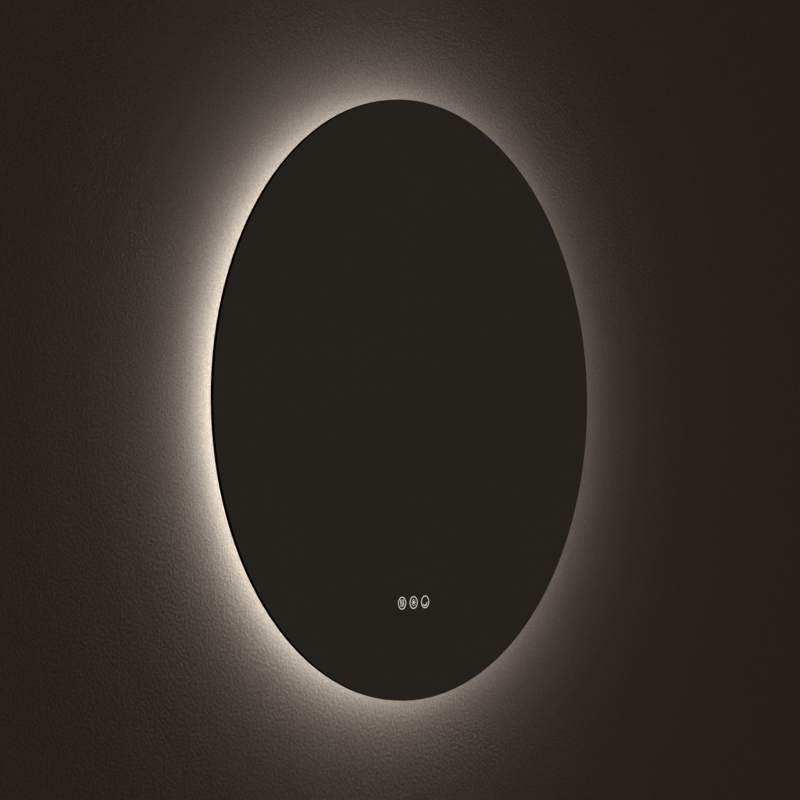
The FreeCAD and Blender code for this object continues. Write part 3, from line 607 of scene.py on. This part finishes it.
def dress_frame():
    """Gives every carried node the finish of its slot.  The sign lamps' guides have their own."""
    special = {"touch_light_guides": guide_finish()}
    for part in frame["record"]["subparts"]:
        piece = frame["nodes"][part["node"]]
        chosen = special.get(part["node"], FINISHES[part["material_slot"]])
        piece.data.materials.clear()
        piece.data.materials.append(chosen)


dress_frame()

# ------------------------------------------------------------ geometry trees


def new_object(name, data):
    """An object of this mesh, lamp or camera, in the scene."""
    thing = bpy.data.objects.new(name, data)
    bpy.context.scene.collection.objects.link(thing)
    return thing


class Shape(Graph):
    """A geometry tree with named inputs, whose result becomes one plain mesh."""

    def __init__(self, name, **sizes):
        group = bpy.data.node_groups.new(name, "GeometryNodeTree")
        super().__init__(group)
        self.sizes = {}
        for size, value in sizes.items():
            kind = "NodeSocketInt" if isinstance(value, int) else "NodeSocketFloat"
            socket = group.interface.new_socket(size, in_out="INPUT", socket_type=kind)
            self.sizes[socket.identifier] = value
        group.interface.new_socket("Shape", in_out="OUTPUT", socket_type="NodeSocketGeometry")
        self.source = group.nodes.new("NodeGroupInput")

    def size(self, name):
        """One of the tree's named inputs."""
        return Socket(self, self.source.outputs[name])

    def moved(self, shape, shift=(0, 0, 0), turn=(0, 0, 0)):
        inputs = {"Geometry": shape, "Translation": shift, "Rotation": turn}
        return self.node("GeometryNodeTransform", inputs=inputs)

    def joined(self, *shapes):
        made = self.tree.nodes.new("GeometryNodeJoinGeometry")
        for shape in shapes:
            self.tree.links.new(shape.socket, made.inputs[0])
        return Socket(self, made.outputs[0])

    def copies(self, points, shape, rotation=None):
        """A copy of the shape on every point."""
        inputs = {"Points": points, "Instance": shape}
        if rotation is not None:
            inputs["Rotation"] = rotation
        return self.node("GeometryNodeInstanceOnPoints", inputs=inputs)

    def row(self):
        """A row of points along X, centred on the origin, from the tree's own Count and Pitch."""
        first = (1.0 - self.size("Count")) * 0.5 * self.size("Pitch")
        return self.node("GeometryNodeMeshLine", inputs={
            "Count": self.size("Count"),
            "Start Location": self.vector(first, 0.0, 0.0),
            "Offset": self.vector(self.size("Pitch"), 0.0, 0.0),
        })

    def circle(self, count, radius):
        """Points, or the corners of a flat ring, at even steps round the origin."""
        return self.node("GeometryNodeMeshCircle", inputs={"Vertices": count, "Radius": radius})

    def turned_by_index(self, count):
        """Turns each copy on a circle so that its X axis points away from the centre."""
        index = self.node("GeometryNodeInputIndex")
        return self.vector(0.0, 0.0, index / count * (2 * math.pi))

    def box(self, x, y, z):
        return self.node("GeometryNodeMeshCube", inputs={"Size": self.vector(x, y, z)})

    def made(self, name, shape, material):
        """The finished mesh object: copies realised, material set, modifier gone."""
        solid = self.node("GeometryNodeRealizeInstances", inputs=[shape])
        inputs = {"Geometry": solid, "Material": material}
        dressed = self.node("GeometryNodeSetMaterial", inputs=inputs)
        result = self.tree.nodes.new("NodeGroupOutput")
        self.tree.links.new(dressed.socket, result.inputs[0])
        carrier = new_object(name + "_tree", bpy.data.meshes.new(name + "_tree"))
        modifier = carrier.modifiers.new("shape", "NODES")
        modifier.node_group = self.tree
        for identifier, value in self.sizes.items():
            modifier[identifier] = value
        graph = bpy.context.evaluated_depsgraph_get()
        mesh = bpy.data.meshes.new_from_object(carrier.evaluated_get(graph))
        bpy.data.objects.remove(carrier)
        mesh.name = name
        return new_object(name, mesh)


def carry(piece, body="mirror"):
    """Sets a piece on its body."""
    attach(piece, body)
    return piece


def seat(piece, matrix):
    """Puts a finished mesh in its place and leaves the object at the origin."""
    piece.data.transform(matrix)
    piece.data.update()
    return piece


# ------------------------------------------------------------ the three touch signs

# The signs are drawn in a flat frame of their own: X right, Y up, Z out of the glass.
SIGN_THICK = 0.08 * MM
SIGN_LIFT = 0.05 * MM
SIGN_COUNT = 3
RING_RADIUS = 7.85 * MM
RING_LINE = 0.9 * MM
RING_SIDES = 96
WAVE_COUNT = 3
WAVE_PITCH = 3.0 * MM
WAVE_LENGTH = 9.4 * MM
WAVE_SWING = -0.7 * MM  # to the left above the middle, to the right below it
WAVE_LINE = 1.3 * MM
WAVE_POINTS = 33
SUN_RADIUS = 1.9 * MM
SUN_SIDES = 40
RAY_START = 3.2 * MM
RAY_LENGTH = 1.7 * MM
RAY_LINE = 0.7 * MM
RAY_COUNT = 8
MOON_RADIUS = 4.7 * MM
MOON_HOLLOW = 5.05 * MM
MOON_SHIFT = 1.8 * MM
MOON_CENTRE = (-0.4 * MM, -0.9 * MM)
MOON_TURN = math.radians(-75)
MOON_STEPS = 28


def on_glass(across):
    """From the signs' flat frame to the mirror's face, at a distance across from its middle."""
    upright = Matrix.Rotation(math.radians(90), 4, "X")
    return Matrix.Translation((across, GLASS_FRONT - SIGN_LIFT, SIGN_HEIGHT)) @ upright


def flat_line(shape, curve, width):
    """A ribbon of the sign's thickness along a flat curve."""
    inputs = {"Width": width, "Height": SIGN_THICK}
    profile = shape.node("GeometryNodeCurvePrimitiveQuadrilateral", inputs=inputs)
    inputs = {"Curve": curve, "Profile Curve": profile, "Fill Caps": True}
    return shape.node("GeometryNodeCurveToMesh", inputs=inputs)


def sign_rings(material):
    """A thin ring round each sign."""
    shape = Shape(
        "sign_ring_row",
        Count=SIGN_COUNT, Pitch=SIGN_PITCH, Radius=RING_RADIUS, Line=RING_LINE,
    )
    inputs = {"Resolution": RING_SIDES, "Radius": shape.size("Radius")}
    circle = shape.node("GeometryNodeCurvePrimitiveCircle", inputs=inputs)
    ring = flat_line(shape, circle, shape.size("Line"))
    piece = shape.made("sign_rings", shape.copies(shape.row(), ring), material)
    return seat(piece, on_glass(0.0))


def sign_waves(material):
    """Three upright wavy lines: the demister sign."""
    shape = Shape(
        "sign_wave_row",
        Count=WAVE_COUNT, Pitch=WAVE_PITCH, Length=WAVE_LENGTH, Swing=WAVE_SWING, Line=WAVE_LINE,
    )
    half = shape.size("Length") * 0.5
    inputs = {"Start": shape.vector(0.0, half * -1.0, 0.0), "End": shape.vector(0.0, half, 0.0)}
    line = shape.node("GeometryNodeCurvePrimitiveLine", inputs=inputs)
    inputs = {"Curve": line, "Count": WAVE_POINTS}
    fine = shape.node("GeometryNodeResampleCurve", inputs=inputs)
    place = shape.node("GeometryNodeInputPosition")
    up = shape.node("ShaderNodeSeparateXYZ", inputs=[place]).output("Y")
    swing = (up / shape.size("Length") * (2 * math.pi)).sine() * shape.size("Swing")
    inputs = {"Geometry": fine, "Offset": shape.vector(swing, 0.0, 0.0)}
    wave = shape.node("GeometryNodeSetPosition", inputs=inputs)
    ribbon = flat_line(shape, wave, shape.size("Line"))
    piece = shape.made("sign_demist_waves", shape.copies(shape.row(), ribbon), material)
    return seat(piece, on_glass(-SIGN_PITCH))


def sign_sun(material):
    """A disc with short rays: the brightness sign."""
    shape = Shape(
        "sign_sun_rays",
        Count=RAY_COUNT, Disc=SUN_RADIUS, Start=RAY_START, Length=RAY_LENGTH, Line=RAY_LINE,
    )
    inputs = {"Vertices": SUN_SIDES, "Radius": shape.size("Disc"), "Depth": SIGN_THICK}
    disc = shape.node("GeometryNodeMeshCylinder", inputs=inputs)
    middle = shape.size("Start") + shape.size("Length") * 0.5
    points = shape.circle(shape.size("Count"), middle)
    ray = shape.box(shape.size("Length"), shape.size("Line"), SIGN_THICK)
    rays = shape.copies(points, ray, shape.turned_by_index(shape.size("Count")))
    piece = shape.made("sign_sun", shape.joined(disc, rays), material)
    return seat(piece, on_glass(0.0))


def arc(radius, reach, shift=0.0):
    """Points at the angles from -reach to reach, round a centre at shift on the X axis."""
    turns = [reach * (step / MOON_STEPS * 2 - 1) for step in range(MOON_STEPS + 1)]
    return [Vector((radius * math.cos(turn) + shift, radius * math.sin(turn))) for turn in turns]


def moon_outline():
    """Along the outer arc from tip to tip, then back along the hollow one."""
    cosine = MOON_HOLLOW ** 2 - MOON_RADIUS ** 2 - MOON_SHIFT ** 2
    cosine /= 2 * MOON_RADIUS * MOON_SHIFT
    reach = math.acos(cosine)
    tip = MOON_RADIUS * Vector((math.cos(reach), math.sin(reach)))
    outer = arc(MOON_RADIUS, reach)
    hollow = arc(MOON_HOLLOW, math.atan2(tip.y, tip.x + MOON_SHIFT), -MOON_SHIFT)
    return outer + hollow[-2:0:-1]


def sign_moon(material):
    """A crescent: the night-light sign, closed at both tips."""
    turned = Matrix.Rotation(MOON_TURN, 2)
    outline = [turned @ point for point in moon_outline()]
    count = len(outline)
    mesh = bpy.data.meshes.new("sign_moon")
    work = bmesh.new()
    layers = []
    for height in (-SIGN_THICK / 2, SIGN_THICK / 2):
        layer = []
        for spot in outline:
            place = (spot.x + MOON_CENTRE[0], spot.y + MOON_CENTRE[1], height)
            layer.append(work.verts.new(place))
        layers.append(layer)
    low, high = layers
    for here in range(count):
        ahead = (here + 1) % count
        work.faces.new((low[here], low[ahead], high[ahead], high[here]))
    for layer in layers:
        work.faces.new((layer[0], layer[1], layer[-1]))
        for out in range(1, MOON_STEPS - 1):
            back = count - out
            work.faces.new((layer[out], layer[out + 1], layer[back - 1], layer[back]))
        work.faces.new(layer[MOON_STEPS - 1:MOON_STEPS + 2])
    bmesh.ops.recalc_face_normals(work, faces=work.faces)
    work.to_mesh(mesh)
    work.free()
    mesh.materials.append(material)
    return seat(new_object("sign_moon", mesh), on_glass(SIGN_PITCH))


def add_signs():
    """From left to right: the demister, the light and the night light."""
    bright = sign_finish("lit_sign_line", level=0.9)
    soft = sign_finish("lit_sign_soft", level=0.55)
    for piece in (sign_rings(bright), sign_waves(soft), sign_sun(bright), sign_moon(bright)):
        carry(piece)


add_signs()

# ------------------------------------------------------------ small steel detail at the back

SCREW_CIRCLE = 330 * MM  # radius of the circle that the screws stand on
SCREW_COUNT = 4
FLANGE_RADIUS = 5.2 * MM
FLANGE_THICK = 0.5 * MM
FLANGE_TAPER = 0.86
FLANGE_SIDES = 36
WELD_COUNT = 3
WELD_PITCH = 20 * MM
WELD_RADIUS = 2.4 * MM
WELD_RISE = 0.12 * MM
WELD_SIDES = 28
WELD_BELOW_TOP = 7 * MM
HOOK_BASE_THICK = 1.5 * MM


def back_facing(depth):
    """From a flat frame (X right, Y up, Z out) to the mirror's back, at a depth from the wall."""
    turned = Matrix.Rotation(math.radians(90), 4, "X") @ Matrix.Rotation(math.radians(180), 4, "Y")
    return Matrix.Translation((0.0, -depth, 0.0)) @ turned


def screw_flanges(material):
    """A conical flange under each hexagon head."""
    shape = Shape(
        "screw_flange_ring",
        Count=SCREW_COUNT, Circle=SCREW_CIRCLE, Radius=FLANGE_RADIUS, Thick=FLANGE_THICK,
    )
    flange = shape.node("GeometryNodeMeshCone", inputs={
        "Vertices": FLANGE_SIDES,
        "Radius Top": shape.size("Radius") * FLANGE_TAPER,
        "Radius Bottom": shape.size("Radius"),
        "Depth": shape.size("Thick"),
    })
    points = shape.circle(shape.size("Count"), shape.size("Circle"))
    half_step = math.pi / SCREW_COUNT
    turn = (0.0, 0.0, math.pi / 2 - half_step)
    flanges = shape.moved(shape.copies(points, flange), turn=turn)
    piece = shape.made("screw_flanges", flanges, material)
    _, pan_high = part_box("back_pan")
    return seat(piece, back_facing(-pan_high.y))


def weld_spots(material):
    """Spot welds that hold each hook's base to the pan."""
    hook_low, hook_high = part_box("left_hook")
    base_depth = -hook_low.y - HOOK_BASE_THICK
    shape = Shape(
        "weld_spot_row",
        Count=WELD_COUNT, Pitch=WELD_PITCH, Radius=WELD_RADIUS, Rise=WELD_RISE,
    )
    spot = shape.node("GeometryNodeMeshCylinder", inputs={
        "Vertices": WELD_SIDES,
        "Radius": shape.size("Radius"),
        "Depth": shape.size("Rise") * 2.0,
    })
    spots = shape.copies(shape.row(), spot)
    height = hook_high.z - WELD_BELOW_TOP
    across = (hook_low.x + hook_high.x) / 2
    pair = [shape.moved(spots, (side * across, height, 0.0)) for side in (-1, 1)]
    piece = shape.made("hook_weld_spots", shape.joined(*pair), material)
    return seat(piece, back_facing(base_depth))


carry(screw_flanges(FINISHES["fastener_steel"]))
carry(weld_spots(weld_finish()))

# ------------------------------------------------------------ stage, lamps and camera

BACKDROP_TONE = (0.58, 0.52, 0.47)
BACKDROP_GAP = 0.5 * MM
BACKDROP_HALF_WIDTH = 1.6
BACKDROP_TOP = 1.3
PLASTER_SHARES = (0.55, 1.45)  # of the tone, in the dark and the pale grains
PLASTER_GRAIN = 420.0
PLASTER_SWELL = 240.0
PLASTER_RELIEF = 1.4 * MM

FLOOR_HEIGHT = -1.1
FLOOR_REACH = 30.0
FLOOR_TONE = (0.74, 0.73, 0.71)
FLOOR_PALER = 1.02
FLOOR_UNSEEN = (0.0, 0.0, 0.0)
FLOOR_GLOW = (0.50, 0.49, 0.475)

PALE_VIEW = (0.62, 0.61, 0.59)
FAINT_AMBIENT = (0.029, 0.0252, 0.0220)

# The flag's tones are painted reflection: the dark that the mirror's face shows, and no light on
# anything.
FLAG_DARK = (0.0199, 0.0162, 0.0131)
FLAG_SOFT = (0.34, 0.33, 0.315)
FLAG_DISTANCE = 7.0
FLAG_NEAR_EDGE = -0.2
FLAG_DARK_WITHIN = math.radians(14)  # of the way in which the camera's view is thrown
FLAG_PALE_BEYOND = math.radians(60)

CAMERA_AZIMUTH = math.radians(-51.61)
CAMERA_ELEVATION = math.radians(-0.80)
CAMERA_DISTANCE = 4.35
SENSOR_WIDTH = 36.0
FOCAL_PIXELS = 3262.4
PICTURE_PIXELS = 800.0
FACE_CENTRE_PIXEL = 413.65


def plane(name, corners):
    """One flat face with these corners."""
    mesh = bpy.data.meshes.new(name)
    mesh.from_pydata(corners, [], [tuple(range(len(corners)))])
    return new_object(name, mesh)


def unseen_by(piece, *rays):
    """Keeps a staging piece out of these kinds of ray."""
    for ray in rays:
        setattr(piece, "visible_" + ray, False)


def clear_from_behind(finish):
    """Shows the finish on the sheet's front and nothing on its back."""
    behind = finish.node("ShaderNodeNewGeometry", output="Backfacing")
    front = Socket(finish, finish.shader.outputs["BSDF"])
    clear = finish.node("ShaderNodeBsdfTransparent")
    finish.show(finish.node("ShaderNodeMixShader", inputs=[behind, front, clear]))


def add_backdrop():
    """A sheet with a plaster's fine grain behind the mirror, which shows its light.  It is there
    only as seen from the front."""
    left, right = -BACKDROP_HALF_WIDTH, BACKDROP_HALF_WIDTH
    low, high = FLOOR_HEIGHT, BACKDROP_TOP
    at = BACKDROP_GAP
    corners = [(left, at, low), (right, at, low), (right, at, high), (left, at, high)]
    sheet = plane("backdrop", corners)
    finish = Finish("backdrop_sheet", Roughness=1.0, Specular_IOR_Level=0.0)
    grain = finish.noise(finish.place(), scale=PLASTER_GRAIN, detail=2.0)
    swell = finish.noise(finish.place(), scale=PLASTER_SWELL, detail=2.0)
    dark, pale = [shaded(BACKDROP_TONE, share) for share in PLASTER_SHARES]
    finish.drive(
        Base_Color=finish.blend(grain, dark, pale),
        Normal=finish.bump(swell, depth=PLASTER_RELIEF, strength=0.5),
    )
    clear_from_behind(finish)
    sheet.data.materials.append(finish.material)
    unseen_by(sheet, "diffuse", "glossy", "transmission", "shadow")


def seen_rays(graph):
    """1 for rays from the camera, reflections and clear glass; 0 for the light on the object."""
    ray = graph.node("ShaderNodeLightPath", output="Is Camera Ray")
    seen = ray.math("MAXIMUM", ray, ray.output("Is Glossy Ray"))
    return seen.math("MAXIMUM", seen, ray.output("Is Transmission Ray"))


def add_floor():
    """A pale sheet that keeps the object's shadow, clear as seen from under it."""
    reach = FLOOR_REACH
    square = [(-reach, -reach), (reach, -reach), (reach, reach), (-reach, reach)]
    floor = plane("floor", [(x, y, FLOOR_HEIGHT) for x, y in square])
    finish = Finish("floor_sheet", Roughness=0.9, Specular_IOR_Level=0.2, Emission_Strength=1.0)
    cloud = finish.noise(finish.place(), scale=0.8)
    finish.drive(
        Base_Color=finish.blend(cloud, FLOOR_TONE, shaded(FLOOR_TONE, FLOOR_PALER)),
        Emission_Color=finish.blend(seen_rays(finish), FLOOR_UNSEEN, FLOOR_GLOW),
    )
    clear_from_behind(finish)
    finish.material.cycles.emission_sampling = "NONE"
    floor.data.materials.append(finish.material)
    unseen_by(floor, "diffuse")


def add_flag():
    """A dark half dome far in front, which only reflections see, glowing as a painted reflection:
    darkest where the camera's view of the glass is thrown, softly paler elsewhere."""
    mesh = bpy.data.meshes.new("flag")
    work = bmesh.new()
    bmesh.ops.create_uvsphere(work, u_segments=48, v_segments=24, radius=FLAG_DISTANCE)
    behind = [vert for vert in work.verts if vert.co.y > FLAG_NEAR_EDGE]
    bmesh.ops.delete(work, geom=behind, context="VERTS")
    work.to_mesh(mesh)
    work.free()
    flag = new_object("flag", mesh)
    finish = Finish("flag_cloth")
    aim = (-math.sin(CAMERA_AZIMUTH), -math.cos(CAMERA_AZIMUTH), 0.0)
    heading = finish.node("ShaderNodeVectorMath", {"operation": "NORMALIZE"}, [finish.place()])
    product = {"operation": "DOT_PRODUCT"}
    facing = finish.node("ShaderNodeVectorMath", product, [heading, aim], output="Value")
    far, near = math.cos(FLAG_PALE_BEYOND), math.cos(FLAG_DARK_WITHIN)
    away = finish.between(facing, far, near, 1.0, 0.0)
    tone = finish.blend(away, FLAG_DARK, FLAG_SOFT)
    finish.show(finish.node("ShaderNodeEmission", inputs={"Color": tone}))
    finish.material.cycles.emission_sampling = "NONE"
    mesh.materials.append(finish.material)
    unseen_by(flag, "camera", "diffuse", "transmission", "shadow", "volume_scatter")


def add_lamp(name, place, size, power):
    """A soft square lamp aimed at the middle of the mirror."""
    data = bpy.data.lights.new(name, "AREA")
    data.shape = "SQUARE"
    data.size = size
    data.energy = power
    lamp = new_object(name, data)
    lamp.location = place
    lamp.rotation_euler = (-Vector(place)).to_track_quat("-Z", "Y").to_euler()


def add_lamps():
    """Three large soft lamps behind the mirror, which show its back."""
    add_lamp("rear_key", (-2.4, 2.9, 1.7), size=4.0, power=56.0)
    add_lamp("rear_fill", (2.9, 2.6, 0.5), size=3.2, power=32.0)
    add_lamp("rear_top", (0.3, 1.6, 2.8), size=2.4, power=20.0)


def add_world():
    """Faint even light on the object; a plain pale view behind it and in its reflections."""
    world = bpy.data.worlds.new("studio")
    world.use_nodes = True
    bpy.context.scene.world = world
    graph = Graph(world.node_tree)
    tone = graph.blend(seen_rays(graph), FAINT_AMBIENT, PALE_VIEW)
    graph.feed(graph.tree.nodes["Background"].inputs["Color"], tone)


def add_camera():
    """The photograph's viewpoint, turned aside so that the face's centre falls on its pixel."""
    data = bpy.data.cameras.new("camera")
    data.sensor_width = SENSOR_WIDTH
    data.lens = data.sensor_width * FOCAL_PIXELS / PICTURE_PIXELS
    camera = new_object("camera", data)
    back = Vector((
        math.sin(CAMERA_AZIMUTH) * math.cos(CAMERA_ELEVATION),
        -math.cos(CAMERA_AZIMUTH) * math.cos(CAMERA_ELEVATION),
        math.sin(CAMERA_ELEVATION),
    ))
    aside = math.atan((FACE_CENTRE_PIXEL - PICTURE_PIXELS / 2) / FOCAL_PIXELS)
    camera.location = Vector((0.0, GLASS_FRONT, 0.0)) + back * CAMERA_DISTANCE
    camera.rotation_mode = "QUATERNION"
    looking = Matrix.Rotation(aside, 3, "Z") @ -back
    camera.rotation_quaternion = looking.to_track_quat("-Z", "Y")
    bpy.context.scene.camera = camera


add_backdrop()
add_floor()
add_flag()
add_lamps()
add_world()
add_camera()
bpy.context.scene.view_settings.view_transform = "Standard"
